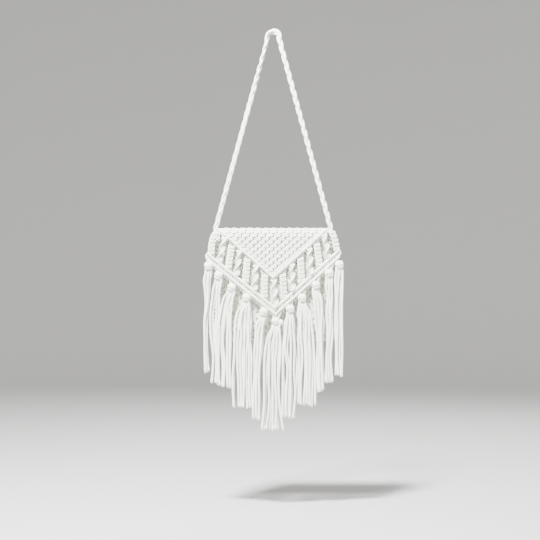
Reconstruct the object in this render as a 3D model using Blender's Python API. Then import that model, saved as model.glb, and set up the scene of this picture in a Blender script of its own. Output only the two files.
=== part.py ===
"""A knotted cotton shoulder bag with a V-shaped flap and eleven tassels, hung up by its strap.

Metres, +Z up, the front faces -Y. The origin is the underside of the strap at the point it hangs from.
The back panel rises to the rim, folds over the mouth and comes down in front as the flap. Everything
on the flap is laid out on the unfolded sheet: x runs across it, and s runs down it from the rim,
with s below zero on the fold.
"""

import functools
import math

import bmesh
import bpy

# Driving sizes
PANEL = 0.0076  # a knotted panel, two cords thick
CLEAR = 0.0003  # between pieces that are tied to each other
FOLD_CLEAR = 0.0009  # on both sides of the upper hitch row, which bends over the fold
FLAP_CLEAR = 0.0008  # between the front panel and the flap that lies on it
POUCH_WIDTH = 0.224
POUCH_HEIGHT = 0.200  # from the rim to the bottom fold
MOUTH = 0.012  # open depth between the front and back panels
BULGE = 0.005  # how far the front panel swells forward at half height
SEAM_ROUND = 0.007  # rounding of the pouch along its side seams
SEAM_PINCH = 0.006  # how far the front panel is drawn back to the seams
STRAP_DROP = 0.3697  # from the hang point down to the top of the fold
STRAP_THICK = 0.0096
STRAP_INSET = 0.002  # from the pouch's side to the middle of the strap's end
HANG_RADIUS = 0.010  # of the strap's middle line where it hangs
UPPER_APEX = 0.079  # from the rim down to the point of the upper V
UPPER_DROP = 0.0914  # height of the upper V on the sheet
HITCH_WIDTH = 0.0084  # one row of double half hitches
HITCH_THICK = 0.0084
LOWER_APEX = 0.1342  # from the rim down to the point of the lower V
LOWER_SHIFT = 0.006  # how far the lower V's point hangs to the right
LOWER_SPAN = 0.1255  # from the middle to each end of the lower V
LOWER_LEFT_RISE = 0.1064  # of each arm of the lower V, from its point to its end
LOWER_RIGHT_RISE = 0.1111
SENNIT_WIDTH = 0.0138
SENNIT_KNOT = 0.0076  # length of one square knot of a flat sennit
SPIRAL_WIDTH = 0.0116
SPIRAL_THICK = 0.0080
SPIRAL_TURN = 0.042  # length of one full turn of a spiral sennit
TOP_REACH = 0.1094  # from the middle to the outermost sennit's head
FOOT_REACH = 0.1210  # and to its foot
KNOT_WIDTH = 0.0170
KNOT_HEIGHT = 0.0145
KNOT_DEPTH = 0.0130
NECK_WIDTH = 0.0060
FRINGE_LENGTH = 0.205  # from the middle of a knot to the tips below it
LOCK_THICK = 0.0094
FRINGE_REACH = 0.1315  # from the middle to the outermost tip
KNOTS_ACROSS = 14  # knots in the top row of the flap
FOLD_ROWS = 4  # rows of knots over the fold
RELIEF = 0.0010  # how far each knot stands out of the panel
PINHOLE_SINK = 0.0006  # and how far the panel sinks between the knots
SEAM_STEPS = 3  # facets of each rounded seam
FRONT_STEPS = 5  # facets of the front panel on each side of its middle
LOWER_STEPS = 10  # sections along each arm of a lower hitch row
STRAP_LEG_STEPS = 34
STRAP_ARC_STEPS = 10
STRAP_SIDES = 8
KNOT_SIDES = 8
STRAP_TWIST = math.radians(15)  # from one section to the next
SHARP_ANGLE = math.radians(50)

# Shares of the sizes above
HITCH_RIB = 0.84  # thickness of a hitch row between two hitches
SENNIT_RIB = 0.88  # width and thickness of a flat sennit between two half knots
SENNIT_SLANT = 0.33  # length at each end of a sennit over which it takes the slant of the V
BOTTOM_TAPER = 0.3  # how far the pouch narrows round the bottom fold, as a share of its depth there
SEAM_LIMIT = 0.98  # of the half depth that a seam's rounding may take
STRAP_FLUTE = 0.9  # radius of the strap between its cords
LOCK_SHORT = 0.97  # length of every other lock of a tassel
LOCK_ROOT = 0.1  # how far below a knot's middle its locks begin, as a share of its height
LOCK_GATHER = 0.5  # width of the locks' roots as a share of the knot's width

# The sennits from left to right. Head and foot are shares of TOP_REACH and FOOT_REACH.
SENNITS = (
    # kind, head, foot
    ("flat", -0.990, -0.978),
    ("spiral", -0.846, -0.850),
    ("flat", -0.725, -0.710),
    ("spiral", -0.590, -0.580),
    ("flat", -0.455, -0.438),
    ("spiral", -0.300, -0.298),
    ("flat", -0.150, -0.143),
    ("spiral", 0.008, 0.040),
    ("flat", 0.162, 0.170),
    ("spiral", 0.318, 0.302),
    ("flat", 0.470, 0.448),
    ("spiral", 0.622, 0.590),
    ("flat", 0.750, 0.730),
    ("spiral", 0.880, 0.868),
    ("flat", 1.000, 1.000),
)

# The tassels from left to right. Knot is a share of LOWER_SPAN, length of FRINGE_LENGTH,
# and left and right, the sides of the tips, are shares of FRINGE_REACH.
TASSELS = (
    # knot, length, left, right, locks
    (-0.982, 0.967, -1.000, -0.920, 2),
    (-0.828, 1.000, -0.912, -0.796, 3),
    (-0.631, 0.940, -0.788, -0.610, 3),
    (-0.407, 1.018, -0.602, -0.306, 4),
    (-0.148, 0.993, -0.298, -0.152, 3),
    (0.064, 1.000, -0.144, 0.108, 4),
    (0.253, 0.995, 0.116, 0.334, 3),
    (0.434, 0.985, 0.342, 0.612, 4),
    (0.644, 0.966, 0.620, 0.740, 3),
    (0.843, 0.992, 0.748, 0.862, 3),
    (0.999, 1.025, 0.870, 1.000, 2),
)

# Cross-sections of the two kinds of sennit, as shares of their half width and half thickness.
FLAT_SECTION = ((1, 0.45), (0.6, 1), (-0.6, 1), (-1, 0.45), (-1, -0.45), (-0.6, -1), (0.6, -1), (1, -0.45))
SPIRAL_SECTION = ((1, 0.0), (0.5, 0.9), (-0.5, 0.9), (-1, 0.0), (-0.5, -0.9), (0.5, -0.9))
# The same for a hitch row, across it and through it, and for a lock.
HITCH_SECTION = ((1, 0.4), (0.55, 1), (-0.55, 1), (-1, 0.4), (-1, -0.4), (-0.55, -1), (0.55, -1), (1, -0.4))
LOCK_SECTION = ((1, 0), (0.55, 1), (-0.55, 1), (-1, 0), (-0.55, -1), (0.55, -1))

# A gathering knot from its neck down: height and radius as shares of its height and half width.
KNOT_RINGS = (
    # height, radius
    (0.34, 0.80),
    (0.14, 1.00),
    (-0.06, 0.92),
    (-0.22, 1.00),
    (-0.42, 0.74),
)

# A lock from the knot to its tip. Along is a share of its length, spread of the way out to its foot,
# wide of its width at the foot and thick of LOCK_THICK.
LOCK_SECTIONS = (
    # along, spread, wide, thick
    (0.02, 0.00, 0.62, 0.70),
    (0.11, 0.45, 0.98, 0.96),
    (0.34, 0.86, 1.12, 1.00),
    (0.74, 1.00, 1.12, 1.00),
    (1.00, 1.00, 0.84, 0.72),
)

# Where the pouch's rings lie below the rim, as shares of its straight height.
POUCH_RINGS = (0.0, 0.16, 0.33, 0.5, 0.67, 0.84, 1.0)
BOTTOM_TURNS = (0.33, 0.64, 0.89)  # and round the bottom fold, as shares of a quarter turn

COTTON = (0.86, 0.85, 0.80)
STRAP_COTTON = (0.90, 0.87, 0.84)
FRINGE_COTTON = (0.87, 0.87, 0.82)

# Places that follow from the sizes
FOLD_OUTER = (3 * PANEL + MOUTH + FLAP_CLEAR) / 2
FOLD_MIDDLE = FOLD_OUTER - PANEL / 2
BACK_Y = MOUTH / 2 + PANEL
FRONT_Y = -BACK_Y
FOLD_Y = BACK_Y - FOLD_OUTER
RIM_Z = -(STRAP_DROP + FOLD_OUTER)
STRAP_X = POUCH_WIDTH / 2 - STRAP_INSET
FIELD_HALF = STRAP_X - STRAP_THICK / 2 - CLEAR
UPPER_SLOPE = UPPER_DROP / FIELD_HALF
HALF_HITCH = HITCH_WIDTH / 2
HITCH_FORWARD = (HITCH_THICK - PANEL) / 2  # so that the rows lie flush with the flap's inner face
QUARTER_TURN = math.pi / 2


def material(name, colour):
    made = bpy.data.materials.new(name)
    made.use_nodes = True
    shader = made.node_tree.nodes["Principled BSDF"]
    shader.inputs["Base Color"].default_value = (*colour, 1.0)
    shader.inputs["Roughness"].default_value = 0.92
    shader.inputs["Metallic"].default_value = 0.0
    return made


def add_object(name, mesh_maker, finish):
    """An object of the mesh, faces out, in the scene's collection."""
    bmesh.ops.recalc_face_normals(mesh_maker, faces=mesh_maker.faces)
    mesh = bpy.data.meshes.new(name)
    mesh_maker.to_mesh(mesh)
    mesh_maker.free()
    mesh.materials.append(finish)
    mesh.shade_smooth()
    mesh.set_sharp_from_angle(angle=SHARP_ANGLE)
    made = bpy.data.objects.new(name, mesh)
    bpy.context.scene.collection.objects.link(made)
    return made


def loft(name, rings, finish):
    """One closed body through rings of equally many points, capped at both ends."""
    shape = bmesh.new()
    rows = [[shape.verts.new(point) for point in ring] for ring in rings]
    for first, second in zip(rows, rows[1:]):
        for k in range(len(first)):
            after = (k + 1) % len(first)
            shape.faces.new((first[k], first[after], second[after], second[k]))
    shape.faces.new(rows[0])
    shape.faces.new(reversed(rows[-1]))
    return add_object(name, shape, finish)


def front_bulge(z):
    """How far the front panel stands forward of its rim at height z."""
    share = min(max((RIM_Z - z) / POUCH_HEIGHT, 0.0), 1.0)
    return BULGE * math.sin(math.pi * share) ** 2


def flap_bulge(z):
    """The flap leans on the front panel down to its fullest height and hangs plumb below that."""
    return front_bulge(max(z, RIM_Z - POUCH_HEIGHT / 2))


def sheet(x, s, lift):
    """The point of the flap at x across and s down the sheet, lift in front of its middle."""
    if s < 0:
        angle = -s / FOLD_MIDDLE
        radius = FOLD_MIDDLE + lift
        return (x, FOLD_Y - radius * math.cos(angle), RIM_Z + radius * math.sin(angle))
    z = RIM_Z - s
    return (x, FOLD_Y - FOLD_MIDDLE - flap_bulge(z) - lift, z)


def steep(slope):
    """Length down the sheet for each unit square to a line of this slope."""
    return math.hypot(1.0, slope)


def upper_row(x):
    """The middle of the upper hitch row down the sheet at x, and the slope of its arms."""
    return UPPER_APEX - UPPER_SLOPE * abs(x), UPPER_SLOPE


def lower_row(x, row=0):
    """The middle of a lower hitch row down the sheet at x, and the slope of that arm."""
    left = LOWER_LEFT_RISE / (LOWER_SPAN + LOWER_SHIFT)
    right = LOWER_RIGHT_RISE / (LOWER_SPAN - LOWER_SHIFT)
    slope = left if x < LOWER_SHIFT else right
    if x == LOWER_SHIFT:
        slope = (left + right) / 2
    down = LOWER_APEX - slope * abs(x - LOWER_SHIFT)
    return down + row * (HITCH_WIDTH + CLEAR) * steep(slope), slope


def pouch_ring(half_x, front, back, corner, swell, z):
    """A flat-backed ring of the pouch at height z. The front swells forward between the seams."""
    corner = min(corner, (back - front) / 2 * SEAM_LIMIT)
    pinch = min(SEAM_PINCH, back - front - 2 * corner)
    flat = half_x - corner
    turns = [QUARTER_TURN * k / SEAM_STEPS for k in range(SEAM_STEPS + 1)]
    arc = [(flat + corner * math.cos(turn), corner * math.sin(turn) - corner) for turn in turns]
    ring = [(x, back + y, z) for x, y in arc]
    ring += [(-x, back + y, z) for x, y in reversed(arc)]
    ring += [(-x, front + pinch - y, z) for x, y in arc]
    for k in range(1, 2 * FRONT_STEPS):
        across = k / FRONT_STEPS - 1
        ring.append((across * flat, front + pinch * across**4 - swell * (1 - across**2), z))
    ring += [(x, front + pinch - y, z) for x, y in reversed(arc)]
    return ring


def pouch_wall(inset):
    """Rings from the rim down to the bottom fold, inset from the outer face."""
    half_x = POUCH_WIDTH / 2 - inset
    back = BACK_Y - inset
    front = FRONT_Y + inset
    corner = max(SEAM_ROUND - inset, PANEL / 4)
    bottom = RIM_Z - POUCH_HEIGHT + inset
    fold = (back - front) / 2
    rings = []
    for share in POUCH_RINGS:
        z = RIM_Z - share * (RIM_Z - bottom - fold)
        rings.append(pouch_ring(half_x, front, back, corner, front_bulge(z), z))
    for share in BOTTOM_TURNS:
        turn = QUARTER_TURN * share
        z = bottom + fold * (1 - math.sin(turn))
        shrink = fold * (1 - math.cos(turn))
        swell = front_bulge(z) * math.cos(turn)
        reach = half_x - BOTTOM_TAPER * shrink
        rings.append(pouch_ring(reach, front + shrink, back - shrink, corner, swell, z))
    return rings


def make_pouch(finish):
    """Front and back panels, side seams and bottom fold, open at the rim."""
    inner = pouch_wall(PANEL)
    outer = pouch_wall(0.0)
    return loft("pouch", inner[::-1] + outer, finish)


def make_flap_field(finish):
    """The knotted panel over the fold and down to the upper V, one raised point for each knot."""
    column = FIELD_HALF / KNOTS_ACROSS
    row = UPPER_DROP / KNOTS_ACROSS
    foot = UPPER_APEX - HALF_HITCH * steep(UPPER_SLOPE) - FOLD_CLEAR
    head = foot - UPPER_DROP
    back = -math.pi * FOLD_MIDDLE + CLEAR
    downs = [back + (head - back) * k / FOLD_ROWS for k in range(FOLD_ROWS)]
    downs += [head + row * k for k in range(KNOTS_ACROSS + 1)]
    shape = bmesh.new()
    outer = {}
    inner = {}
    for r, s in enumerate(downs):
        reach = KNOTS_ACROSS - max(0, r - FOLD_ROWS)
        for i in range(-reach, reach + 1):
            on_edge = r == 0 or abs(i) == reach
            relief = 0.0 if on_edge else (RELIEF if (i + r) % 2 == 1 else -PINHOLE_SINK)
            outer[i, r] = shape.verts.new(sheet(i * column, s, PANEL / 2 + relief))
            inner[i, r] = shape.verts.new(sheet(i * column, s, -PANEL / 2))
    for r in range(len(downs) - 1):
        for i in range(-KNOTS_ACROSS, KNOTS_ACROSS):
            corners = ((i, r), (i + 1, r), (i + 1, r + 1), (i, r + 1))
            found = [corner for corner in corners if corner in outer]
            if len(found) < 3:
                continue
            if len(found) == 3:
                pieces = [found]
            elif (i + r) % 2 == 0:
                pieces = [(corners[1], corners[2], corners[3]), (corners[1], corners[3], corners[0])]
            else:
                pieces = [(corners[0], corners[1], corners[2]), (corners[0], corners[2], corners[3])]
            for piece in pieces:
                shape.faces.new([outer[corner] for corner in piece])
                shape.faces.new([inner[corner] for corner in reversed(piece)])
    partner = {outer[key]: inner[key] for key in outer}
    rims = [edge for edge in shape.edges if edge.is_boundary and edge.verts[0] in partner]
    for edge in rims:
        first, second = edge.verts
        shape.faces.new((second, first, partner[first], partner[second]))
    return add_object("flap_field", shape, finish)


def make_hitch_row(name, line, span, steps, finish):
    """A ridge of double half hitches along a V, ribbed where the cords wrap round.

    The line gives, at x, the middle of the row down the sheet and the slope of its arm. Each section
    is cut at one x, so that the rows, the field and the sennits meet along parallel edges.
    """
    point = span[1]
    stations = [span[0] + (point - span[0]) * k / steps for k in range(steps)]
    stations += [point + (span[2] - point) * k / steps for k in range(steps + 1)]
    rings = []
    for k, x in enumerate(stations):
        s, slope = line(x)
        high = HALF_HITCH * steep(slope)
        thick = HITCH_THICK / 2 * (1.0 if k % 2 == 0 else HITCH_RIB)
        rings.append([sheet(x, s + a * high, b * thick + HITCH_FORWARD) for a, b in HITCH_SECTION])
    return loft(name, rings, finish)


def make_sennit(name, kind, head_x, foot_x, finish):
    """A plaited bar from the upper V to the lower one, its ends cut along the two Vs."""
    spiral = kind == "spiral"
    half_width = (SPIRAL_WIDTH if spiral else SENNIT_WIDTH) / 2
    half_thick = (SPIRAL_THICK if spiral else PANEL) / 2
    upper_down, upper_slope = upper_row(head_x)
    lower_down, lower_slope = lower_row(foot_x)
    upper = math.copysign(upper_slope, -head_x)
    lower = math.copysign(lower_slope, LOWER_SHIFT - foot_x)
    head = upper_down + HALF_HITCH * steep(upper_slope) + FOLD_CLEAR
    foot = lower_down - HALF_HITCH * steep(lower_slope) - CLEAR
    if abs(head_x) < half_width:
        head += upper_slope * abs(head_x)
        upper = 0.0
    if abs(foot_x - LOWER_SHIFT) < half_width:
        foot -= lower_slope * (half_width - abs(foot_x - LOWER_SHIFT))
        lower = 0.0
    steps = max(4, 2 * round((foot - head) / SENNIT_KNOT))
    # A spiral's corners turn past the panel's inner face, so it lies that much further forward.
    forward = max(0.0, half_width - PANEL / 2 - FLAP_CLEAR + CLEAR) if spiral else 0.0
    section = SPIRAL_SECTION if spiral else FLAT_SECTION
    rings = []
    for k in range(steps + 1):
        share = k / steps
        x = head_x + (foot_x - head_x) * share
        s = head + (foot - head) * share
        at_head = max(0.0, 1 - share / SENNIT_SLANT)
        at_foot = max(0.0, 1 - (1 - share) / SENNIT_SLANT)
        slant = upper * at_head + lower * at_foot
        turn = 2 * math.pi * (foot - head) * share / SPIRAL_TURN if spiral else 0.0
        full = 1.0 if spiral or k % 2 == 0 else SENNIT_RIB
        ring = []
        for a, b in section:
            across = a * half_width * full
            lift = b * half_thick * full
            turned = across * math.cos(turn) - lift * math.sin(turn)
            raised = across * math.sin(turn) + lift * math.cos(turn)
            ring.append(sheet(x + turned, s + slant * turned, raised + forward))
        rings.append(ring)
    return loft(name, rings, finish)


def hanging_place(knot):
    """Where a tassel hangs: the x of its knot, the foot of the lower rows there and its slope."""
    x = knot * LOWER_SPAN
    if abs(x - LOWER_SHIFT) < KNOT_WIDTH / 2:
        x = LOWER_SHIFT
    down, slope = lower_row(x, row=1)
    return x, down + HALF_HITCH * steep(slope) + CLEAR, 0.0 if x == LOWER_SHIFT else slope


def make_lock(name, start, foot_x, half_width, length, finish):
    """One lock of a tassel: a flat bundle of cords from inside the knot down to its tip."""
    x, y, z = start
    rings = []
    for along, spread, wide, thick in LOCK_SECTIONS:
        middle = x + (foot_x - x) * spread
        across = half_width * wide
        depth = LOCK_THICK / 2 * thick
        down = z - length * along
        rings.append([(middle + across * a, y + depth * b, down) for a, b in LOCK_SECTION])
    return loft(name, rings, finish)


def fuse(body, others):
    """Joins the other objects into the body."""
    for other in others:
        join = body.modifiers.new(other.name, "BOOLEAN")
        join.operation = "UNION"
        join.solver = "EXACT"
        join.object = other
        with bpy.context.temp_override(object=body, active_object=body):
            bpy.ops.object.modifier_apply(modifier=join.name)
        bpy.data.objects.remove(other)
    body.data.shade_smooth()
    body.data.set_sharp_from_angle(angle=SHARP_ANGLE)
    return body


def make_tassel(number, knot, length, left, right, locks, finish):
    """A gathering knot with its neck, fused with the locks that hang from it."""
    x, edge, slope = hanging_place(knot)
    half = KNOT_WIDTH / 2
    deep = KNOT_DEPTH / 2
    neck = NECK_WIDTH / 2
    y = FRONT_Y - BULGE - CLEAR - deep
    z = RIM_Z - edge - math.hypot(half * slope, KNOT_HEIGHT / 2) - CLEAR
    sizes = [(RIM_Z - edge - slope * neck, neck, neck)]
    sizes += [(z + height * KNOT_HEIGHT, half * radius, deep * radius) for height, radius in KNOT_RINGS]
    turns = [2 * math.pi * k / KNOT_SIDES for k in range(KNOT_SIDES)]
    rings = []
    for level, across, depth in sizes:
        rings.append([(x + across * math.cos(t), y + depth * math.sin(t), level) for t in turns])
    name = f"tassel_{number:02d}"
    body = loft(name, rings, finish)
    low = left * FRINGE_REACH
    wide = (right - left) * FRINGE_REACH / locks
    gathered = LOCK_GATHER * KNOT_WIDTH / locks
    root = LOCK_ROOT * KNOT_HEIGHT
    hanging = []
    for k in range(locks):
        foot_x = low + wide * (k + 0.5)
        inside = x + gathered * (k - (locks - 1) / 2)
        shorter = LOCK_SHORT if k % 2 else 1.0
        start = (inside, y, z - root)
        own = FRINGE_LENGTH * length * shorter - root
        hanging.append(make_lock(f"{name}_lock_{k}", start, foot_x, wide / 2, own, finish))
    return fuse(body, hanging)


def strap_route():
    """The strap's middle line from one end over the hang point to the other."""
    middle = STRAP_THICK / 2 - HANG_RADIUS
    knee = -STRAP_DROP
    reach = math.hypot(STRAP_X, middle - knee)
    lean = math.atan2(middle - knee, -STRAP_X) - math.asin(HANG_RADIUS / reach)
    run = math.sqrt(reach**2 - HANG_RADIUS**2)
    side = [(STRAP_X, RIM_Z + CLEAR), (STRAP_X, (RIM_Z + knee) / 2)]
    for k in range(STRAP_LEG_STEPS + 1):
        along = run * k / STRAP_LEG_STEPS
        side.append((STRAP_X + along * math.cos(lean), knee + along * math.sin(lean)))
    begin = lean - math.pi / 2
    arc = []
    for k in range(1, STRAP_ARC_STEPS):
        turn = begin + (math.pi - 2 * begin) * k / STRAP_ARC_STEPS
        arc.append((HANG_RADIUS * math.cos(turn), middle + HANG_RADIUS * math.sin(turn)))
    mirrored = [(-x, z) for x, z in reversed(side)]
    return side + arc + mirrored


def make_strap(finish):
    """The braided strap, a rounded bundle that turns slowly along its length."""
    route = strap_route()
    rings = []
    for k, (x, z) in enumerate(route):
        before = route[max(k - 1, 0)]
        after = route[min(k + 1, len(route) - 1)]
        length = math.hypot(after[0] - before[0], after[1] - before[1])
        ahead = ((after[0] - before[0]) / length, (after[1] - before[1]) / length)
        square = (1.0, 0.0) if k in (0, len(route) - 1) else (ahead[1], -ahead[0])
        if k == len(route) - 1:
            square = (-1.0, 0.0)
        ring = []
        for corner in range(STRAP_SIDES):
            turn = 2 * math.pi * corner / STRAP_SIDES + k * STRAP_TWIST
            radius = STRAP_THICK / 2 * (1.0 if corner % 2 else STRAP_FLUTE)
            across = radius * math.cos(turn)
            ring.append((x + across * square[0], radius * math.sin(turn), z + across * square[1]))
        rings.append(ring)
    return loft("strap", rings, finish)


def main():
    for old in list(bpy.data.objects):
        bpy.data.objects.remove(old)
    knotted = material("knotted_cotton", COTTON)
    braided = material("braided_cotton", STRAP_COTTON)
    loose = material("fringe_cotton", FRINGE_COTTON)
    make_pouch(knotted)
    make_flap_field(knotted)
    make_hitch_row("upper_hitch_row", upper_row, (-FIELD_HALF, 0.0, FIELD_HALF), KNOTS_ACROSS, knotted)
    for row in range(2):
        span = (-LOWER_SPAN, LOWER_SHIFT, LOWER_SPAN)
        line = functools.partial(lower_row, row=row)
        make_hitch_row(f"lower_hitch_row_{row + 1}", line, span, LOWER_STEPS, knotted)
    for number, (kind, head, foot) in enumerate(SENNITS, 1):
        make_sennit(f"sennit_{number:02d}", kind, head * TOP_REACH, foot * FOOT_REACH, knotted)
    for number, tassel in enumerate(TASSELS, 1):
        make_tassel(number, *tassel, loose)
    make_strap(braided)


main()
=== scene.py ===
"""The knotted cotton shoulder bag, cord by cord: panels, sennits, hitches, tassels and strap.

Metres, +Z up, the front faces -Y, and the origin is where the strap hangs. The flap is laid out on
the unfolded sheet: x runs across it and s down it from the rim, with s below zero on the fold.
"""

import math

import bpy
import numpy as np
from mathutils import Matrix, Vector


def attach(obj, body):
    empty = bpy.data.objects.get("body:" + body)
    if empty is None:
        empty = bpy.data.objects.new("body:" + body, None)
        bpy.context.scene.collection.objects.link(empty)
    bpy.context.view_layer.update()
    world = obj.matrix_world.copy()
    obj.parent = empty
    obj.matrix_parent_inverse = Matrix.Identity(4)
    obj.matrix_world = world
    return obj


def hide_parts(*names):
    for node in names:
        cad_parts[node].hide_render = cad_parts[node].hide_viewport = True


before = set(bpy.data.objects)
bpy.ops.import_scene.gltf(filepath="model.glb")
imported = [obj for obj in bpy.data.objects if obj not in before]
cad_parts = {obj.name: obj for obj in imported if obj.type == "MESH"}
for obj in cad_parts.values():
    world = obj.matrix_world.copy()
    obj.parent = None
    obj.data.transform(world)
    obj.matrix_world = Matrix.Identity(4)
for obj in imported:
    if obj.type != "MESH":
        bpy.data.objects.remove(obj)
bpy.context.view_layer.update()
chance = np.random.default_rng(11)

# Panels, fold and pouch
PANEL = 0.0076  # thickness of the flap and of the pouch's panels
CLEAR = 0.0003  # between pieces that touch
FOLD_CLEAR = 0.0009  # between the flap's field and the hitches below it
FLAP_CLEAR = 0.0008  # between the flap and the pouch
POUCH_WIDTH = 0.224
POUCH_HEIGHT = 0.200
MOUTH = 0.012  # between the pouch's panels
BULGE = 0.005  # how far the front swells out
SEAM_ROUND = 0.007  # rounding of the pouch at its side seams
SEAM_PINCH = 0.006  # how far the front is drawn back at its side seams
EDGE_START = 0.097  # from here outwards the back panel's edges curve in,
EDGE_REACH = 0.012  # over this width,
EDGE_IN = 0.0022  # by this much
KNOTTED_HALF = 0.1082  # half the width of the pouch's knotting
KNOTS_ACROSS = 14
FOLD_ROWS = 4  # rows of knots on the fold, above the first row of the V
FOLD_WIDER = 0.03  # how much wider the knotting is at the back of the fold, as a share,
FOLD_WIDER_START = 0.020  # from here over the fold,
FOLD_WIDER_REACH = 0.022  # growing over this length
FLAP_OVERLAP = 0.001  # how far the flap's cords run on past the end of the fold

# Strap
STRAP_DROP = 0.3697
STRAP_THICK = 0.0096
STRAP_X = 0.110
STRAP_SUNK = 0.012  # how far the strap's ends run down into the fold
HANG_RADIUS = 0.010
TOP_LENGTH = 0.022  # length at the top where the braid is spread by what it hangs on,
TOP_RISE = 0.0020  # how much higher it lies there
TOP_SPREAD = 0.0012  # and how much wider its strands swing

# Rows of hitches
UPPER_APEX = 0.079
UPPER_DROP = 0.0914
HITCH_WIDTH = 0.0084
HITCH_THICK = 0.0084
LOWER_APEX = 0.1342
LOWER_SHIFT = 0.006
LOWER_SPAN = 0.1255
LOWER_LEFT_RISE = 0.1064
LOWER_RIGHT_RISE = 0.1111

# Sennits
SENNIT_WIDTH = 0.0138
SPIRAL_WIDTH = 0.0116
SPIRAL_THICK = 0.0080
SPIRAL_TURN = 0.042  # length in which a spiral goes once round
SPIRAL_START = 0.25  # angle at its head
TOP_REACH = 0.1094
FOOT_REACH = 0.1210
HEAD_BELOW = {"flat": 0.0066, "spiral": 0.0046}  # how far the sennits begin below the upper ridge
FOOT_ABOVE = 0.0022  # and end above the lower one

# Tassels
KNOT_WIDTH = 0.0170
KNOT_HEIGHT = 0.0145
KNOT_DEPTH = 0.0130
FRINGE_LENGTH = 0.205
FRINGE_REACH = 0.1315

# Cords. A cord's size is its radius.
CORDS_ACROSS = 4 * KNOTS_ACROSS
PANEL_CORD = 0.00164  # in the flap, where the knots squeeze it
POUCH_CORD = 0.00172
POUCH_SINK = 0.0020  # how far the pouch's knots stay below the surface of its solid
RELIEF = 0.0007  # how far the knots of the flap stand out of its solid
HITCH_CORD = 0.00170
RIDGE_FORWARD = 0.0010  # how far the ridges stand out past the middle of their row
RIDGE_WIDTH = 0.0062  # of the hitches themselves, at the upper side of their row
HITCH_PITCH = 0.0026  # from one hitch to the next along a row
SENNIT_CORD = 0.00165
SENNIT_STEP = 0.00151  # a step out in the tables of the knots, in a sennit
HALF_KNOT = 0.0037  # height of a half knot of a sennit
SPIRAL_CORE = 0.0019
FRINGE_CORD = 0.00222
STRAND = 0.0026
BRAID_PITCH = 0.060
PLY_PITCH = 0.0085  # length of a cord in which its plies go once round

# The lacing down the pouch's sides
LACING_CORD = 0.0019
LACING_X = 0.1075
LACING_Y = 0.0030
LACING_HALF_WIDTH = 0.0084
LACING_HALF_THICK = 0.0036
LACING_PITCH = 0.0076

# Places that follow from the sizes
FOLD_OUTER = (3 * PANEL + MOUTH + FLAP_CLEAR) / 2
FOLD_MIDDLE = FOLD_OUTER - PANEL / 2
BACK_Y = MOUTH / 2 + PANEL
FRONT_Y = -BACK_Y
FOLD_Y = BACK_Y - FOLD_OUTER
RIM_Z = -(STRAP_DROP + FOLD_OUTER)
FIELD_HALF = STRAP_X - STRAP_THICK / 2 - CLEAR
UPPER_SLOPE = UPPER_DROP / FIELD_HALF
HALF_HITCH = HITCH_WIDTH / 2
HITCH_FORWARD = (HITCH_THICK - PANEL) / 2
ROW = UPPER_DROP / KNOTS_ACROSS
FIELD_FOOT = UPPER_APEX - HALF_HITCH * math.hypot(1, UPPER_SLOPE) - FOLD_CLEAR
FIELD_HEAD = FIELD_FOOT - UPPER_DROP
TOP_ROW = FIELD_HEAD + 0.0031  # the first row of the V; the row above it lies on top of the fold
PANEL_MIDDLE = BACK_Y - PANEL / 2
BOTTOM_Z = RIM_Z - POUCH_HEIGHT + BACK_Y
POUCH_STRAIGHT = RIM_Z - BOTTOM_Z
POUCH_BEND = math.pi * PANEL_MIDDLE

# For each row of hitches: where its point is, how far it reaches, and how far the ridge lies above
# the middle of the row, at the point and at the end, of the left arm and of the right one.
RIDGES = {
    "upper": (0.0, FIELD_HALF, ((0.0021, 0.0030), (0.0024, 0.0044))),
    "lower_1": (LOWER_SHIFT, LOWER_SPAN, ((-0.0020, -0.0022), (0.0010, -0.0006))),
    "lower_2": (LOWER_SHIFT, LOWER_SPAN, ((-0.0014, -0.0022), (0.0016, -0.0006))),
}

SENNITS = (
    # kind, head, foot, as shares of TOP_REACH and FOOT_REACH
    ("flat", -0.990, -0.978),
    ("spiral", -0.846, -0.850),
    ("flat", -0.725, -0.710),
    ("spiral", -0.590, -0.580),
    ("flat", -0.455, -0.438),
    ("spiral", -0.300, -0.298),
    ("flat", -0.150, -0.143),
    ("spiral", 0.008, 0.040),
    ("flat", 0.162, 0.170),
    ("spiral", 0.318, 0.302),
    ("flat", 0.470, 0.448),
    ("spiral", 0.622, 0.590),
    ("flat", 0.750, 0.730),
    ("spiral", 0.880, 0.868),
    ("flat", 1.000, 1.000),
)
SENNIT_BOWS = {1: -0.0036, 15: 0.0020}  # how far the outermost sennits bow to the side

TASSELS = (
    # knot as a share of LOWER_SPAN, length as a share of FRINGE_LENGTH, left and right as shares of
    # FRINGE_REACH, number of cords, tilt of the knot's wraps in degrees, how far the knot lies
    # above its solid, how much longer the tassel is on its right, how far its last cord strays
    (-0.982, 0.967, -1.000, -0.920, 4, -10, 0.0025, 0.000, 0.000),
    (-0.828, 1.000, -0.912, -0.796, 5, -24, 0.0000, 0.002, 0.001),
    (-0.631, 0.940, -0.788, -0.610, 7, -28, -0.0030, 0.005, 0.000),
    (-0.407, 1.018, -0.602, -0.306, 10, -22, 0.0010, 0.002, 0.000),
    (-0.148, 0.993, -0.298, -0.152, 6, -26, 0.0000, 0.002, 0.000),
    (0.064, 1.000, -0.144, 0.108, 9, 12, 0.0000, 0.000, 0.007),
    (0.253, 0.995, 0.116, 0.334, 8, 8, 0.0035, 0.002, 0.000),
    (0.434, 0.985, 0.342, 0.612, 9, 6, 0.0030, 0.004, 0.003),
    (0.644, 0.966, 0.620, 0.740, 6, 8, 0.0030, -0.003, 0.002),
    (0.843, 0.992, 0.748, 0.862, 5, 10, 0.0025, -0.001, 0.001),
    (0.999, 1.025, 0.870, 1.000, 5, 12, 0.0000, 0.001, 0.001),
)
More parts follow.
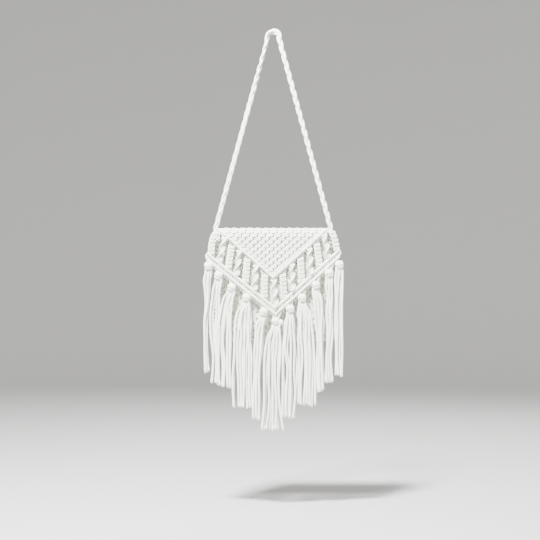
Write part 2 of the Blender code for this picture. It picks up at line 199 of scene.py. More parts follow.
SECOND_LUMP = {6: (0.0075, -0.0020)}  # the middle knot has a second, smaller lump beside it

# The wraps of a gathering knot: height on the knot, size across as a share of the knot's, radius of
# the cord and slant in degrees.
GATHERING = (
    (0.78, 0.74, 0.0022, -10),
    (0.46, 0.93, 0.0024, -8),
    (0.12, 1.02, 0.0025, -4),
    (-0.18, 0.96, 0.0022, 0),
    (-0.66, 0.86, 0.0023, 9),
)
KNOT_CORE = 0.0052  # radius of the bundle of cords inside a knot
CORE_REACH = 0.004  # and half its length

# How a tassel's cord hangs: share of its length, share of the way out to its foot.
FRINGE_WAY = (
    (0.0, 0.0),
    (0.05, 0.10),
    (0.12, 0.46),
    (0.22, 0.72),
    (0.36, 0.88),
    (0.55, 0.94),
    (0.78, 0.98),
    (1.0, 1.0),
)
FRINGE_INSIDE = 0.0095  # width of the cords inside the knot
FRINGE_LAYER = 0.0021  # how far each cord lies before or behind the tassel's middle
FRINGE_BOW = 0.0012  # how far the outer cords bow out below the knot
FRINGE_UNEVEN = 0.022  # how much shorter a cord may be, as a share
SWAY_TOGETHER = 0.0008  # how far the cords of a tassel sway as one,
SWAY_ALONE = 0.0012  # each by itself
SWAY_DEEP = 0.0007  # and to the front and back
PLIES = 4  # ends of the plies at a cord's tip

# How far the flat braid of the strap is turned out of the plane of the loop, along its length.
STRAP_FACES = (
    # share of the length, degrees
    (0.0, 0),
    (0.12, 10),
    (0.25, 35),
    (0.40, 0),
    (0.48, 0),
    (0.53, 85),
    (0.58, 70),
    (0.70, -20),
    (0.88, 15),
    (1.0, 0),
)

# The way of each of a square knot's four cords: across in half cord spacings, down in half heights
# of the knot and out in steps, FULL_OUT of which reach the front of the panel.
LEFT_WORKER = (
    (-3.3, -1.00, -0.2), (-2.7, -0.62, 0.6), (-2.4, -0.30, 0.1), (-1.3, -0.30, -1.3),
    (1.3, -0.34, -1.4), (2.5, -0.36, -0.1), (2.85, -0.14, 1.4), (2.8, 0.12, 1.5),
    (2.4, 0.34, -0.2), (1.2, 0.32, -1.4), (-1.2, 0.30, -1.3), (-2.5, 0.46, 0.0),
    (-3.1, 0.80, 0.3),
)
RIGHT_WORKER = (
    (3.3, -1.00, -0.2), (2.3, -0.76, 0.5), (1.0, -0.60, 1.5), (-0.9, -0.28, 1.7),
    (-2.2, -0.10, 0.8), (-2.6, 0.10, -0.5), (-2.2, 0.36, 0.7), (-0.8, 0.52, 1.7),
    (1.1, 0.24, 1.6), (2.1, 0.46, 0.7), (3.1, 0.80, 0.1),
)
LEFT_FILLER = ((-0.75, -1.05, -0.2), (-0.95, -0.4, 0.1), (-0.95, 0.3, 0.1))
RIGHT_FILLER = ((0.75, -1.05, -0.2), (0.95, -0.4, 0.1), (0.95, 0.3, 0.1))
FULL_OUT = 1.7
SQUARE_KNOT = (LEFT_WORKER, LEFT_FILLER, RIGHT_FILLER, RIGHT_WORKER)
UNEVEN_DOWN = 0.01  # how unevenly a knot of a panel lies, as a share of a row,
UNEVEN_OUT = 0.05  # stands out
UNEVEN_CORD = 0.03  # and how unevenly thick its cords are, as shares


def smooth_path(points, per):
    """Points along a Catmull-Rom curve through the given ones, per of them for each."""
    p = np.asarray(points, float)
    n = len(p)
    count = max(2, int(round((n - 1) * per)) + 1)
    at = np.linspace(0, n - 1, count)
    k = np.minimum(at.astype(int), n - 2)
    t = (at - k)[:, None]
    before, after = p[np.maximum(k - 1, 0)], p[np.minimum(k + 2, n - 1)]
    a, b = p[k], p[k + 1]
    return 0.5 * (2 * a + (b - before) * t + (2 * before - 5 * a + 4 * b - after) * t**2
                  + (3 * a - before - 3 * b + after) * t**3)


def length_along(path):
    """How far along the path each of its points lies."""
    return np.concatenate([[0], np.cumsum(np.linalg.norm(np.diff(path, axis=0), axis=1))])


def directions(path):
    """The direction of the path at each of its points."""
    ahead = np.gradient(path, axis=0)
    return ahead / np.linalg.norm(ahead, axis=1)[:, None]


class Cords:
    """Collects cords and makes them one mesh, with u round each cord and v along it in metres."""

    def __init__(self):
        self.points, self.faces, self.u, self.v, self.count = [], [], [], [], 0

    def add(self, path, radius, sides=6):
        """One cord along the path, of one radius or one for each point, closed at both ends."""
        path = np.asarray(path, float)
        n = len(path)
        ahead = np.gradient(path, axis=0)
        ahead /= np.maximum(np.linalg.norm(ahead, axis=1), 1e-9)[:, None]
        across = np.empty((n, 3))
        side = np.cross(ahead[0], (0.13, 1.0, 0.07))
        if np.linalg.norm(side) < 0.1:
            side = np.cross(ahead[0], (1.0, 0.1, 0.0))
        for k in range(n):
            side = side - ahead[k] * (side @ ahead[k])
            side = side / math.sqrt(side @ side)
            across[k] = side
        other = np.cross(ahead, across)
        turn = np.arange(sides) * 2 * math.pi / sides
        wide = np.broadcast_to(np.asarray(radius, float), (n,))[:, None, None]
        ring = (across[:, None] * np.cos(turn)[None, :, None]
                + other[:, None] * np.sin(turn)[None, :, None])
        self.points.append((path[:, None] + ring * wide).reshape(-1, 3))
        along = length_along(path)
        along += chance.random() * PLY_PITCH
        row, k = np.meshgrid(np.arange(n - 1), np.arange(sides), indexing="ij")
        row, k = row.ravel(), k.ravel()
        after = (k + 1) % sides
        base = self.count
        self.faces.append(np.stack([row * sides + k, row * sides + after,
                                    (row + 1) * sides + after, (row + 1) * sides + k],
                                   axis=1) + base)
        start = chance.random()
        self.u.append(np.stack([k, k + 1, k + 1, k], axis=1) / sides + start)
        self.v.append(np.stack([along[row], along[row], along[row + 1], along[row + 1]], axis=1))
        self.count += n * sides
        tips = ((0, path[0] - ahead[0] * wide[0] * 0.5),
                (n - 1, path[-1] + ahead[-1] * wide[-1] * 0.5))
        for end, middle in tips:
            self.points.append(np.reshape(middle, (1, 3)))
            tip = self.count
            self.count += 1
            ring_at = base + end * sides + np.arange(sides)
            following = base + end * sides + (np.arange(sides) + 1) % sides
            pair = (following, ring_at) if end == 0 else (ring_at, following)
            self.faces.append(np.stack([*pair, np.full(sides, tip), np.full(sides, -1)], axis=1))
            self.u.append(np.tile(start, (sides, 4)))
            self.v.append(np.tile(along[end], (sides, 4)))

    def build(self, name, finish, slot, *nodes):
        """The mesh of the cords, in place of the named nodes. A fourth corner of -1 is none."""
        points = np.concatenate(self.points)
        faces = np.concatenate(self.faces)
        u, v = np.concatenate(self.u), np.concatenate(self.v)
        used = faces >= 0
        sizes = used.sum(axis=1)
        starts = np.concatenate([[0], np.cumsum(sizes)[:-1]])
        mesh = bpy.data.meshes.new(name)
        mesh.vertices.add(len(points))
        mesh.vertices.foreach_set("co", points.ravel())
        mesh.loops.add(int(sizes.sum()))
        mesh.loops.foreach_set("vertex_index", faces[used].astype(np.int32))
        mesh.polygons.add(len(faces))
        mesh.polygons.foreach_set("loop_start", starts.astype(np.int32))
        layer = mesh.uv_layers.new(name="cord")
        layer.data.foreach_set("uv", np.stack([u[used], v[used]], axis=1).ravel())
        mesh.polygons.foreach_set("use_smooth", np.ones(len(faces), bool))
        mesh.update(calc_edges=True)
        mesh.validate()
        mesh.materials.append(finish)
        made = bpy.data.objects.new(name, mesh)
        bpy.context.scene.collection.objects.link(made)
        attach(made, "root")
        if nodes:
            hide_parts(*nodes)


def flap_bulge(z):
    high = np.maximum(z, RIM_Z - POUCH_HEIGHT / 2)
    return BULGE * np.sin(np.pi * np.clip((RIM_Z - high) / POUCH_HEIGHT, 0, 1)) ** 2


def sheet(x, s, lift):
    """Points of the flap at x across and s down the sheet, lift in front of its middle."""
    x, s, lift = np.broadcast_arrays(x, s, lift)
    angle = -np.minimum(s, 0) / FOLD_MIDDLE
    radius = FOLD_MIDDLE + lift
    plumb = RIM_Z - s
    on_front = FOLD_Y - FOLD_MIDDLE - flap_bulge(plumb) - lift
    y = np.where(s < 0, FOLD_Y - radius * np.cos(angle), on_front)
    z = np.where(s < 0, RIM_Z + radius * np.sin(angle), plumb)
    return np.stack([x, y, z], axis=-1)


def pouch_sheet(x, t, lift):
    """Points of the pouch at x across and t along it, down the back, round and up the front."""
    x, t, lift = np.broadcast_arrays(x, t, lift)
    turn = np.clip((t - POUCH_STRAIGHT) / PANEL_MIDDLE, 0, np.pi)
    up = np.maximum(t - POUCH_STRAIGHT - POUCH_BEND, 0)
    radius = PANEL_MIDDLE + lift
    z = np.where(t < POUCH_STRAIGHT, RIM_Z - t, BOTTOM_Z - radius * np.sin(turn) + up)
    front = np.maximum(-np.cos(turn), 0)
    over = np.abs(x) / (POUCH_WIDTH / 2 - SEAM_ROUND)
    swell = BULGE * np.sin(np.pi * np.clip((RIM_Z - z) / POUCH_HEIGHT, 0, 1)) ** 2
    pinch = SEAM_PINCH * np.minimum(over, 1) ** 4
    y = radius * np.cos(turn) + front * (pinch - swell * (1 - over**2).clip(0))
    edge = np.clip((np.abs(x) - EDGE_START) / EDGE_REACH, 0, 1) ** 2
    return np.stack([x, y - EDGE_IN * edge * np.cos(turn).clip(0), z], axis=-1)


def steep(slope):
    """Distance down the sheet that crosses one metre of the width of a row of that slope."""
    return math.hypot(1, slope)


def upper_row(x):
    """Place down the sheet of the middle of the upper row at x, and its slope."""
    return UPPER_APEX - UPPER_SLOPE * abs(x), UPPER_SLOPE


def lower_row(x, row=0):
    """The same of the first or the second of the lower rows."""
    left = LOWER_LEFT_RISE / (LOWER_SPAN + LOWER_SHIFT)
    right = LOWER_RIGHT_RISE / (LOWER_SPAN - LOWER_SHIFT)
    slope = left if x < LOWER_SHIFT else right
    between = (HITCH_WIDTH + CLEAR) * steep(slope)
    return LOWER_APEX - slope * abs(x - LOWER_SHIFT) + row * between, slope


def ridge(name, x):
    """Place down the sheet and slope of the ridge of a row of hitches at x."""
    point, reach, ups = RIDGES[name]
    down, slope = upper_row(x) if name == "upper" else lower_row(x, int(name == "lower_2"))
    first, last = ups[x >= point]
    out = min(abs(x - point) / (reach - abs(point)), 1)
    return down - (first + (last - first) * out) * steep(slope), slope


def column_at(cord):
    """Place of a panel's cord, in half cord spacings from the middle."""
    return 2 * cord - (CORDS_ACROSS - 1)


def panel_cords(cords, place, half_width, pitch, first, last, starts, ends, reach, radius, front,
                per, sides):
    """Alternating square knots. Row r lies at r times the pitch, and starts and ends give, for each
    cord, where it begins and stops. reach(r) is the outermost column of a row that is knotted, and
    front is how far the knots stand out from the middle of the panel."""
    half = half_width / CORDS_ACROSS
    step = (front - radius) / FULL_OUT
    for cord in range(CORDS_ACROSS):
        column = column_at(cord)
        start, end = starts(column), ends(column)
        way = [(column * half, start, 0.0)]
        for r in range(first, last + 1):
            shift = 0 if r % 2 == 0 else 2
            group, role = divmod(cord - shift, 4)
            centre = column_at(4 * group + shift) + 3
            beside = group < 0 or 4 * group + shift + 3 >= CORDS_ACROSS
            uneven = chance.standard_normal(2)
            steps = SQUARE_KNOT[role]
            if beside or abs(centre) > reach(r):
                steps = ((column - centre, -0.5, 0.0),)
            for across, down, out in steps:
                middle = r * pitch + down * pitch / 2
                if start < middle < end:
                    way.append(((centre + across) * half, middle + UNEVEN_DOWN * uneven[0] * pitch,
                                out * step * (1 + UNEVEN_OUT * uneven[1])))
        way.append((column * half, end, 0.0))
        x, s, lift = np.asarray(way).T
        own = radius * (1 + UNEVEN_CORD * chance.standard_normal())
        cords.add(smooth_path(place(x, s, lift), per), own, sides)


def coil(cords, axis, out, half_width, half_thick, pitch, radius, per_turn=10):
    """A cord wound closely round the line of points axis, whose outward directions are out."""
    wobble = 0.04
    lean = 0.35 * radius
    run = length_along(axis)
    at = np.linspace(0, run[-1], int(run[-1] / pitch * per_turn))
    middle = np.stack([np.interp(at, run, axis[:, k]) for k in range(3)], axis=1)
    normal = np.stack([np.interp(at, run, out[:, k]) for k in range(3)], axis=1)
    ahead = directions(middle)
    normal -= ahead * (normal * ahead).sum(axis=1)[:, None]
    normal /= np.linalg.norm(normal, axis=1)[:, None]
    beside = np.cross(ahead, normal)
    turn = 2 * np.pi * at / pitch
    turns = int(run[-1] / pitch) + 2
    swing = 1 + wobble * np.interp(at / pitch, np.arange(turns), chance.standard_normal(turns))
    path = (middle + ahead * (lean * np.sin(turn))[:, None]
            + beside * (half_width * np.cos(turn) * swing)[:, None]
            + normal * (half_thick * np.sin(turn) * swing)[:, None])
    cords.add(path, radius)


def computed(tree, operation, *terms):
    """The output of a math node whose inputs are numbers or the outputs of other nodes."""
    made = tree.nodes.new("ShaderNodeMath")
    made.operation = operation
    for socket, term in zip(made.inputs, terms):
        if isinstance(term, (int, float)):
            socket.default_value = term
        else:
            tree.links.new(term, socket)
    return made.outputs["Value"]


def noise(tree, place, scale, detail):
    made = tree.nodes.new("ShaderNodeTexNoise")
    made.inputs["Scale"].default_value = scale
    made.inputs["Detail"].default_value = detail
    tree.links.new(place, made.inputs["Vector"])
    return made.outputs["Fac"]


def cotton(name, colour, ply_depth, painted_groove_shade):
    """Twisted cotton cord: plies round it, fine fibres along them, a soft uneven white, and painted
    shade that darkens the colour in the grooves between the plies.
    """
    made = bpy.data.materials.new(name)
    made.use_nodes = True
    tree = made.node_tree
    links = tree.links
    shader = tree.nodes["Principled BSDF"]
    shader.inputs["Roughness"].default_value = 0.9
    shader.inputs["Specular IOR Level"].default_value = 0.15
    shader.inputs["Sheen Weight"].default_value = 0.25
    shader.inputs["Sheen Roughness"].default_value = 0.6
    cord_uv = tree.nodes.new("ShaderNodeUVMap")
    cord_uv.uv_map = "cord"
    parts = tree.nodes.new("ShaderNodeSeparateXYZ")
    links.new(cord_uv.outputs["UV"], parts.inputs["Vector"])
    along = computed(tree, "MULTIPLY", parts.outputs["Y"], 1 / PLY_PITCH)
    twisted = computed(tree, "ADD", parts.outputs["X"], along)
    wave = computed(tree, "SINE", computed(tree, "MULTIPLY", twisted, 3 * math.pi))
    plies = computed(tree, "ABSOLUTE", wave)
    place = tree.nodes.new("ShaderNodeTexCoord").outputs["Object"]
    fibres = noise(tree, place, 900.0, 3.0)
    clouds = noise(tree, place, 60.0, 2.0)
    bump = tree.nodes.new("ShaderNodeBump")
    bump.inputs["Strength"].default_value = 0.75
    bump.inputs["Distance"].default_value = ply_depth
    links.new(computed(tree, "MULTIPLY_ADD", fibres, 0.35, plies), bump.inputs["Height"])
    links.new(bump.outputs["Normal"], shader.inputs["Normal"])
    # Painted shade: the colour runs from its darker tone in the grooves between the plies, and
    # where the clouds vary it at random, to the full colour on the plies' crowns.
    tones = tree.nodes.new("ShaderNodeValToRGB")
    tones.color_ramp.elements[0].position = 0.05
    tones.color_ramp.elements[0].color = (*[c * s for c, s in zip(colour, painted_groove_shade)], 1)
    tones.color_ramp.elements[1].position = 0.75
    tones.color_ramp.elements[1].color = (*colour, 1)
    links.new(computed(tree, "MULTIPLY_ADD", clouds, 0.45, plies), tones.inputs["Fac"])
    links.new(tones.outputs["Color"], shader.inputs["Base Color"])
    return made


# The last three numbers darken each cotton in the grooves between its plies: painted shade.
knotted = cotton("knotted_cotton_cord", (0.85, 0.855, 0.775), 0.0005, (0.80, 0.80, 0.76))
loose = cotton("fringe_cotton_cord", (0.87, 0.872, 0.80), 0.0005, (0.82, 0.82, 0.78))
braided = cotton("braided_cotton_cord", (0.88, 0.86, 0.83), 0.0006, (0.84, 0.82, 0.79))


def make_flap():
    cords = Cords()

    def place(x, s, lift):
        share = np.clip((-FOLD_WIDER_START - s) / FOLD_WIDER_REACH, 0, 1)
        return sheet(x * (1 + FOLD_WIDER * share), s + TOP_ROW, lift)

    def start(column):
        return -math.pi * FOLD_MIDDLE - TOP_ROW - FLAP_OVERLAP

    def end(column):
        return upper_row(column * FIELD_HALF / CORDS_ACROSS)[0] - TOP_ROW

    def reach(r):
        return CORDS_ACROSS if r < 0 else 4 * (KNOTS_ACROSS - 1 - r) + 0.5

    panel_cords(cords, place, FIELD_HALF, ROW, -FOLD_ROWS, KNOTS_ACROSS - 1, start, end, reach,
                PANEL_CORD, PANEL / 2 + RELIEF, 2.0, 6)
    cords.build("flap_knots", knotted, "knotted_cotton", "flap_field")


def make_pouch():
    total = 2 * POUCH_STRAIGHT + POUCH_BEND
    rows = round(total / ROW)
    pitch = total / rows
    middle = (rows // 2 + 0.5) * pitch
    halves = (
        # name, first and last row, where the cords begin and end, points for each step
        ("pouch_back_knots", 0, rows // 2, 0.0, middle, 1.35),
        ("pouch_front_knots", rows // 2, rows, middle, total, 1.5),
    )
    for name, first, last, low, high, per in halves:
        cords = Cords()
        panel_cords(cords, pouch_sheet, KNOTTED_HALF, pitch, first, last, lambda c: low,
                    lambda c: high, lambda r: CORDS_ACROSS, POUCH_CORD, PANEL / 2 - POUCH_SINK,
                    per, 5)
        cords.build(name, knotted, "knotted_cotton", "pouch")
    lacing = Cords()
    for side in (-1, 1):
        z = np.linspace(RIM_Z - 0.002, BOTTOM_Z - 0.008, 60)
        axis = np.stack([np.full(60, side * LACING_X), np.full(60, LACING_Y), z], axis=1)
        out = np.tile((side, 0.0, 0.0), (60, 1))
        coil(lacing, axis, out, LACING_HALF_WIDTH, LACING_HALF_THICK, LACING_PITCH, LACING_CORD, 14)
    lacing.build("pouch_side_lacing", knotted, "knotted_cotton", "pouch")


def make_ridge(cords, name, from_x, to_x):
    """Hitches wound round their holding cord from one x to another."""
    xs = np.linspace(from_x, to_x, 120)
    down = np.array([ridge(name, x)[0] for x in xs])
    axis = sheet(xs, down, HITCH_FORWARD + RIDGE_FORWARD)
    outwards = sheet(xs, down, HITCH_FORWARD + 0.02) - axis
    holding = RIDGE_WIDTH / 2 - HITCH_CORD
    deep = HITCH_THICK / 2 - HITCH_CORD
    coil(cords, axis, outwards, holding, deep, HITCH_PITCH, HITCH_CORD)
    cords.add(axis, holding, 8)


def make_leaving(cords, name, reach, count, radius, below, lift, aim):
    """The cords that leave a row of hitches, count of them, each to the point that aim gives."""
    for k in range(count):
        x = -reach + 2 * reach * (k + 0.5) / count
        down, slope = ridge(name, x)
        target = aim(x, down + below * steep(slope))
        first = sheet(x - 0.0004, down + 0.001 * steep(slope), HITCH_FORWARD)
        second = sheet(x, down + 0.0036 * steep(slope), HITCH_FORWARD + lift)
        path = smooth_path([first, second, 0.7 * second + 0.3 * target, target], 3)
        cords.add(path, radius)


def to_sennit(x, s):
    """Where a cord at x joins the head of the nearest sennit."""
    heads = [(head * TOP_REACH, kind) for kind, head, foot in SENNITS]
    middle, kind = min(heads, key=lambda head: abs(head[0] - x))
    drawn = 0.30 if kind == "spiral" else 0.72
    return sheet(middle + drawn * (x - middle), s, 0.0)


def straight_down(x, s):
    return sheet(x, s, 0.0)


def to_knot(x, s):
    """Where a cord at x joins the nearest gathering knot, or ends behind the row between two."""
    places = [knot_place(tassel[0]) for tassel in TASSELS]
    knot = np.array(min(places, key=lambda place: abs(place[0] - x)))
    if abs(knot[0] - x) > (0.0150 if knot[0] == LOWER_SHIFT else 0.0085):
        return sheet(x, s - 0.002, -0.001)
    return knot + ((x - knot[0]) * 0.35, 0.0015, 0.0030)


def make_hitches():
    rows = (
        # name, node, cords that leave it, their radius, how far down they go, how far out they
        # stand, where they go
        ("upper", "upper_hitch_row", CORDS_ACROSS, 0.00104, 0.0095, -0.0006, to_sennit),
        ("lower_1", "lower_hitch_row_1", 58, 0.00122, 0.0060, 0.0022, straight_down),
        ("lower_2", "lower_hitch_row_2", 58, 0.00122, 0.0080, 0.0012, to_knot),
    )
    gap = 0.0001
    inset = 0.001
    for name, node, count, radius, below, lift, aim in rows:
        cords = Cords()
        point, reach = RIDGES[name][:2]
        make_ridge(cords, name, -reach, point - gap)
        make_ridge(cords, name, reach, point + gap)
        make_leaving(cords, name, reach - inset, count, radius, below, lift, aim)
        cords.build(name + "_hitches", knotted, "knotted_cotton", node)


def make_row_ends():
    """The holding cord of the lower rows, which turns back at both ends from one into the other."""
    for side, name in ((-1, "left_row_end"), (1, "right_row_end")):
        cords = Cords()
        x = side * LOWER_SPAN
        upper, lower = ridge("lower_1", x)[0], ridge("lower_2", x)[0]
        middle, high = (upper + lower) / 2, (lower - upper) / 2
        turn = np.linspace(-0.75 * math.pi, 0.75 * math.pi, 30)
        out = x - side * 0.0030 + side * 0.0040 * np.cos(turn)
        path = sheet(out, middle + high * np.sin(turn), HITCH_FORWARD)
        cords.add(path, 0.0022 + 0.0006 * np.cos(turn / 1.5), 10)
        cords.build(name, knotted, "knotted_cotton")


def flat_sennit(cords, head, length, head_x, foot_x, bow):
    """Square knots, one below the other."""
    unit = SENNIT_WIDTH / 7.8
    widest = 2.8
    knots = round(length / (2 * HALF_KNOT))
    high = length / knots
    for steps in SQUARE_KNOT:
        way = []
        for k in range(knots):
            for across, down, out in steps:
                way.append((min(max(across, -widest), widest) * unit, (k + 0.5 + down / 2) * high,
                            out * SENNIT_STEP))
        way.append((steps[0][0] * 0.8 * unit, length, 0.0))
        across, down, out = smooth_path(way, 2.2).T
        share = down / length
        middle = head_x + (foot_x - head_x) * share + bow * np.sin(math.pi * share**0.75)
        cords.add(sheet(middle + across, head + down, out), SENNIT_CORD)


def spiral_sennit(cords, head, length, head_x, foot_x):
    """Two cords wound round four that run down, the whole turning as it goes."""
    down = np.linspace(0, length, int(length / 0.00042))
    middle = head_x + (foot_x - head_x) * down / length
    forward = SPIRAL_WIDTH / 2 - PANEL / 2
    turn = 2 * np.pi * down / SPIRAL_TURN + SPIRAL_START
    for start in (0, math.pi):
        wind = math.pi * down / HALF_KNOT + start
        wide = (SPIRAL_WIDTH / 2 - SPIRAL_CORE) * np.cos(wind)
        deep = (SPIRAL_THICK / 2 - SPIRAL_CORE) * np.sin(wind)
        x = middle + wide * np.cos(turn) - deep * np.sin(turn)
        lift = forward + wide * np.sin(turn) + deep * np.cos(turn)
        cords.add(sheet(x, head + down, lift), SENNIT_CORD)
    beaded = SPIRAL_CORE * (1 + 0.10 * np.cos(2 * np.pi * down / HALF_KNOT))
    for out, radius in ((-0.0047, beaded), (0.0047, beaded), (-0.0013, 0.0017), (0.0013, 0.0017)):
        path = sheet(middle + out * np.cos(turn), head + down, forward + out * np.sin(turn))
        cords.add(path[::2], np.broadcast_to(radius, down.shape)[::2])


def make_sennit(number, kind, head_x, foot_x):
    cords = Cords()
    upper, upper_slope = ridge("upper", head_x)
    lower, lower_slope = ridge("lower_1", foot_x)
    head = upper + HEAD_BELOW[kind] * steep(upper_slope)
    length = lower - FOOT_ABOVE * steep(lower_slope) - head
    if kind == "flat":
        flat_sennit(cords, head, length, head_x, foot_x, SENNIT_BOWS.get(number, 0.0))
    else:
        spiral_sennit(cords, head, length, head_x, foot_x)
    node = f"sennit_{number:02d}"
    cords.build(node + "_cords", knotted, "knotted_cotton", node)


def knot_place(knot):
    """Middle of a gathering knot's solid, which hangs from the lower edge of the second row."""
    x = knot * LOWER_SPAN
    if abs(x - LOWER_SHIFT) < KNOT_WIDTH / 2:
        x = LOWER_SHIFT
    down, slope = lower_row(x, row=1)
    edge = down + HALF_HITCH * steep(slope) + CLEAR
    leaning = 0.0 if x == LOWER_SHIFT else slope
    y = FRONT_Y - BULGE - CLEAR - KNOT_DEPTH / 2
    z = RIM_Z - edge - math.hypot(KNOT_WIDTH / 2 * leaning, KNOT_HEIGHT / 2) - CLEAR
    return x, y, z


def make_knot(cords, centre, lean, size):
    turn = np.linspace(0, 2 * math.pi, 25)[:, None]
    for level, share, radius, slant in GATHERING:
        own = lean + math.radians(slant)
        side = np.array((math.cos(own), 0, math.sin(own)))
        rise = np.array((-math.sin(own), 0, math.cos(own)))
        wide = KNOT_WIDTH / 2 * share * size - radius
        deep = KNOT_DEPTH / 2 * share * size - radius
        ring = centre + rise * level * size * KNOT_HEIGHT / 2 + side * np.cos(turn) * wide
        cords.add(ring + np.array((0, 1, 0)) * np.sin(turn) * deep, radius, 8)
    up = np.array((0, 0, CORE_REACH * size))
    cords.add([centre + up, centre, centre - up], KNOT_CORE * size, 12)


def make_plies(cords, tip, ahead):
    """The short ends of the plies, which open a little at a cord's tip."""
    for ply in range(PLIES):
        angle = ply * 2 * math.pi / PLIES + chance.random()
        out = np.array((math.cos(angle), math.sin(angle), 0.0))
        fall = 0.0012 + 0.0018 * chance.random()
        cords.add([tip - ahead * 0.006 + out * 0.0010, tip + out * 0.0012 - (0, 0, 0.0002),
                   tip + out * 0.0017 - (0, 0, fall)], [0.0012, 0.0013, 0.0009])


def make_tassel(number, knot, length, left, right, count, tilt, lift, slant, stray):
    cords = Cords()
    x, y, z = knot_place(knot)
    centre = np.array((x, y, z + lift))
    if number in SECOND_LUMP:
        across, up = SECOND_LUMP[number]
        make_knot(cords, centre + (-0.0020, 0, 0.0005), math.radians(tilt), 0.92)
        make_knot(cords, centre + (across, 0.001, up), math.radians(tilt - 35), 0.66)
    else:
        make_knot(cords, centre, math.radians(tilt), 1.0)
    low, high = left * FRINGE_REACH + FRINGE_CORD, right * FRINGE_REACH - FRINGE_CORD
    together = SWAY_TOGETHER * chance.standard_normal(len(FRINGE_WAY))
    root = 0.002
    for k in range(count):
        share = k / (count - 1)
        foot_x = low + (high - low) * share + SWAY_TOGETHER * chance.standard_normal()
        layer = FRINGE_LAYER * (1 if k % 2 else -1)
        inside = x + (share - 0.5) * FRINGE_INSIDE
        own = FRINGE_LENGTH * length * (1 - FRINGE_UNEVEN * chance.random() ** 1.5)
        own -= max(slant, 0) * (1 - share) + max(-slant, 0) * share
        sway = together + SWAY_ALONE * chance.standard_normal(len(FRINGE_WAY))
        way = []
        for n, (down, spread) in enumerate(FRINGE_WAY):
            free = min(down * 5, 1)
            bow = FRINGE_BOW * math.sin(math.pi * min(down / 0.3, 1)) * (2 * share - 1)
            drift = sway[n] * free + stray * share**4 * max(down - 0.7, 0) / 0.3
            deep = layer * min(down * 8, 1) + SWAY_DEEP * chance.standard_normal() * free
            way.append((inside + (foot_x - inside) * spread + bow + drift, y + deep,
                        z - root - (own - root) * down))
        path = smooth_path(way, 6)
        cords.add(path, FRINGE_CORD * (1 + 0.05 * chance.standard_normal()), 8)
        ahead = path[-1] - path[-2]
        make_plies(cords, path[-1], ahead / np.linalg.norm(ahead))
    node = f"tassel_{number:02d}"
    cords.build(node + "_cords", loose, "fringe_cotton", node)


def strap_route():
    """Middle of the strap in x and z: up the right leg, round the top and down the left one."""
    middle = STRAP_THICK / 2 - HANG_RADIUS
    knee = -STRAP_DROP
    reach = math.hypot(STRAP_X, middle - knee)
    lean = math.atan2(middle - knee, -STRAP_X) - math.asin(HANG_RADIUS / reach)
    run = math.sqrt(reach**2 - HANG_RADIUS**2)
    side = [(STRAP_X, z) for z in (RIM_Z - STRAP_SUNK, RIM_Z + CLEAR, (RIM_Z + knee) / 2)]
    side += [(STRAP_X + along * math.cos(lean), knee + along * math.sin(lean))
             for along in np.linspace(0, run, 60)]
    begin = lean - math.pi / 2
    turns = [begin + (math.pi - 2 * begin) * k / 16 for k in range(1, 16)]
    arc = [(HANG_RADIUS * math.cos(t), middle + HANG_RADIUS * math.sin(t)) for t in turns]
    return side + arc + [(-x, z) for x, z in reversed(side)]


def make_strap():
    cords = Cords()
    route = np.array([(x, 0.0, z) for x, z in strap_route()])
    run = length_along(route)
    at = np.linspace(0, run[-1], int(run[-1] / 0.0022))
    middle = np.stack([np.interp(at, run, route[:, k]) for k in range(3)], axis=1)
    front = np.tile((0.0, -1.0, 0.0), (len(at), 1))
    beside = np.cross(directions(middle), front)
    top = np.exp(-((at - run[-1] / 2) / TOP_LENGTH) ** 2)
    outwards = middle - (0.0, 0.0, STRAP_THICK / 2 - HANG_RADIUS)
    outwards /= np.linalg.norm(outwards, axis=1)[:, None]
    middle = middle + outwards * (TOP_RISE * top)[:, None]
    shares, angles = np.array(STRAP_FACES).T
    face = np.radians(np.interp(at / run[-1], shares, angles))
    cosine, sine = np.cos(face), np.sin(face)
    for strand in range(3):
        turn = 2 * np.pi * (at / BRAID_PITCH + strand / 3)
        wide = (0.0023 + TOP_SPREAD * top) * np.sin(turn)
        deep = 0.0011 * np.sin(2 * turn)
        path = (middle + beside * (wide * cosine - deep * sine)[:, None]
                + front * (wide * sine + deep * cosine)[:, None])
        cords.add(path, STRAND, 10)
    cords.build("strap_braid", braided, "braided_cotton", "strap")


make_flap()
make_pouch()
make_hitches()
make_row_ends()
for number, (kind, head, foot) in enumerate(SENNITS, 1):
    make_sennit(number, kind, head * TOP_REACH, foot * FOOT_REACH)
for number, tassel in enumerate(TASSELS, 1):
    make_tassel(number, *tassel)
make_strap()

# Room: a pale floor that turns up into a far pale wall all round
FLOOR_Z = -0.90
FLOOR_INNER = 1.6
BEND_START = 3.2
BEND_RADIUS = 1.6
WALL_TOP = 3.2
BEND_STEPS = 12
ROUNDS = 64

pale = bpy.data.materials.new("pale_room")
pale.use_nodes = True
paint = pale.node_tree.nodes["Principled BSDF"]
paint.inputs["Base Color"].default_value = (0.42, 0.415, 0.41, 1)
paint.inputs["Roughness"].default_value = 1.0

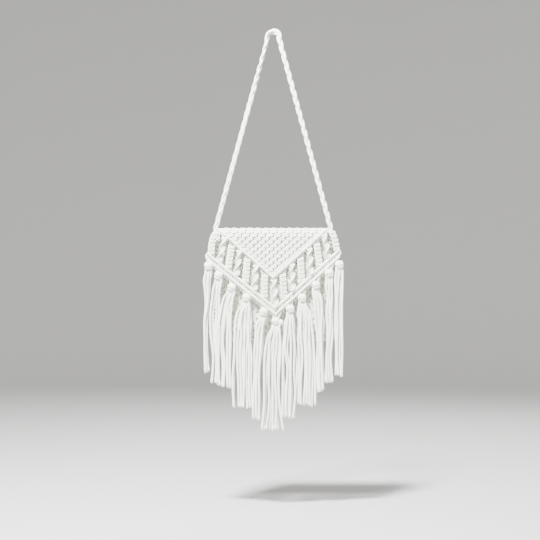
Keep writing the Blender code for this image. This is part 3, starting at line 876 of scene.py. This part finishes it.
profile = [(FLOOR_INNER, FLOOR_Z)]
for k in range(BEND_STEPS + 1):
    angle = k * math.pi / 2 / BEND_STEPS
    profile.append((BEND_START + BEND_RADIUS * math.sin(angle),
                    FLOOR_Z + BEND_RADIUS * (1 - math.cos(angle))))
profile.append((BEND_START + BEND_RADIUS, WALL_TOP))
corners = [(r * math.cos(2 * math.pi * k / ROUNDS), r * math.sin(2 * math.pi * k / ROUNDS), z)
           for r, z in profile for k in range(ROUNDS)]
walls = []
for n in range(len(profile) - 1):
    for k in range(ROUNDS):
        low, high, after = n * ROUNDS, (n + 1) * ROUNDS, (k + 1) % ROUNDS
        walls.append((low + k, low + after, high + after, high + k))
room_mesh = bpy.data.meshes.new("floor")
room_mesh.from_pydata(corners, [], walls + [tuple(reversed(range(ROUNDS)))])
room_mesh.shade_smooth()
room_mesh.materials.append(pale)
floor = bpy.data.objects.new("floor", room_mesh)
bpy.context.scene.collection.objects.link(floor)

# Soft lights
world = bpy.data.worlds.new("room")
bpy.context.scene.world = world
world.use_nodes = True
world.node_tree.nodes["Background"].inputs["Color"].default_value = (1.0, 0.99, 0.97, 1)
world.node_tree.nodes["Background"].inputs["Strength"].default_value = 0.60


def add_light(name, place, size, power):
    """A square light that faces the middle of the bag."""
    light = bpy.data.lights.new(name, "AREA")
    light.size = size
    light.energy = power
    made = bpy.data.objects.new(name, light)
    made.location = place
    aim = Vector((0, 0, -0.42)) - Vector(place)
    made.rotation_euler = aim.to_track_quat("-Z", "Y").to_euler()
    bpy.context.scene.collection.objects.link(made)


add_light("key", (-0.48, -0.98, 1.25), 0.3, 430)
add_light("fill", (1.5, -1.8, 0.0), 1.5, 12)
add_light("back", (0.6, 1.6, 0.7), 1.0, 40)

# Camera, level and square to the front
VIEW_DISTANCE = 3.0
VIEW_HALF = 0.513  # half the width that it sees at that distance
lens = bpy.data.cameras.new("camera")
camera = bpy.data.objects.new("camera", lens)
bpy.context.scene.collection.objects.link(camera)
camera.location = (-0.0063, -3.02, -0.4495)
camera.rotation_euler = (math.pi / 2, 0, 0)
lens.sensor_width = 36
lens.lens = lens.sensor_width / 2 * VIEW_DISTANCE / VIEW_HALF
bpy.context.scene.camera = camera
